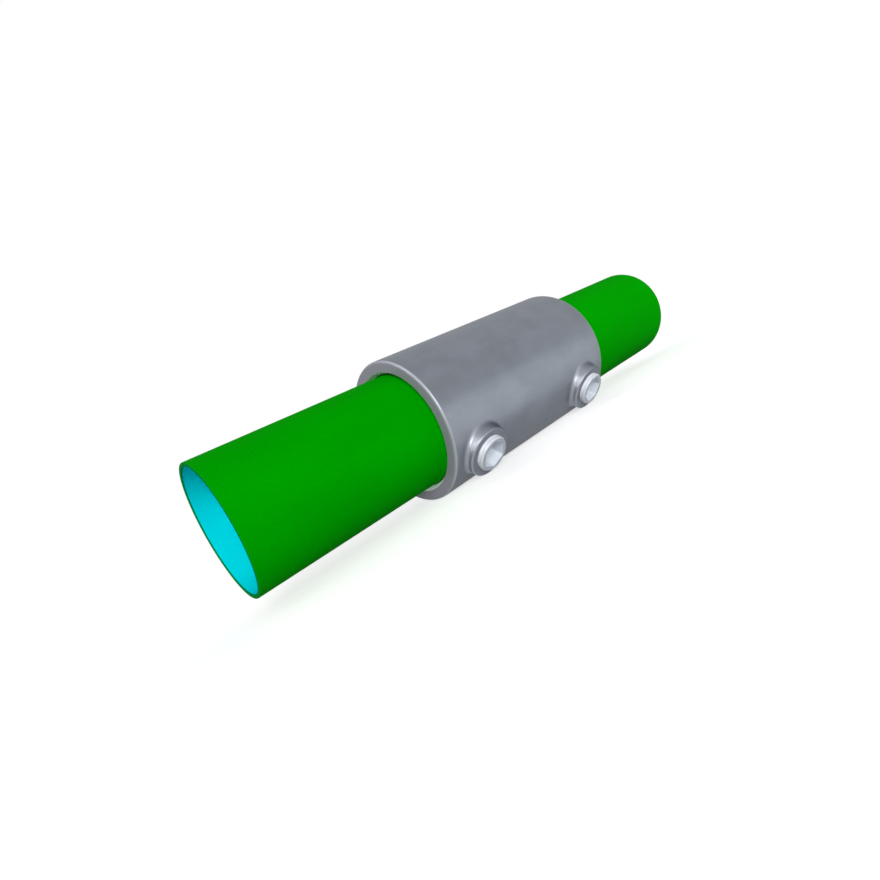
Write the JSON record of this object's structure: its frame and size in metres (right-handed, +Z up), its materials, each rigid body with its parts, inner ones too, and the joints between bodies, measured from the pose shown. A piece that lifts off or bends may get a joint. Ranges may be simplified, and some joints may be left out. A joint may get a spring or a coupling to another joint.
{
  "type": "pipe extension fitting",
  "caption": "Round cast sleeve that joins two pipes end to end, with socket set screws in side bosses that clamp the pipes.",
  "frame": {"origin": "on the pipe axis, at the middle of the sleeve's length", "axes": "+X along the pipes, towards the right pipe; +Z up, with the part lying on its sleeve and on the rims of both bosses; the screws point to -Y and down"},
  "size_m": [0.2538, 0.061, 0.0604],
  "materials": {
    "cast_sleeve": "galvanised grey casting",
    "plated_screw": "bright plated steel",
    "green_pipe": "green paint outside, turquoise paint inside"
  },
  "bodies": {
    "root": {"coupling_sleeve": "cast_sleeve", "left_pipe": "green_pipe", "right_pipe": "green_pipe"},
    "left_screw": {"left_set_screw": "plated_screw"},
    "right_screw": {"right_set_screw": "plated_screw"}
  },
  "joints": [
    {"name": "left_screw_travel", "type": "slide", "parent": "root", "child": "left_screw", "axis": [0, -0.7182, -0.6958], "range_m": [0, 0.006]},
    {"name": "right_screw_travel", "type": "slide", "parent": "root", "child": "right_screw", "axis": [0, -0.7182, -0.6958], "range_m": [0, 0.006]}
  ]
}
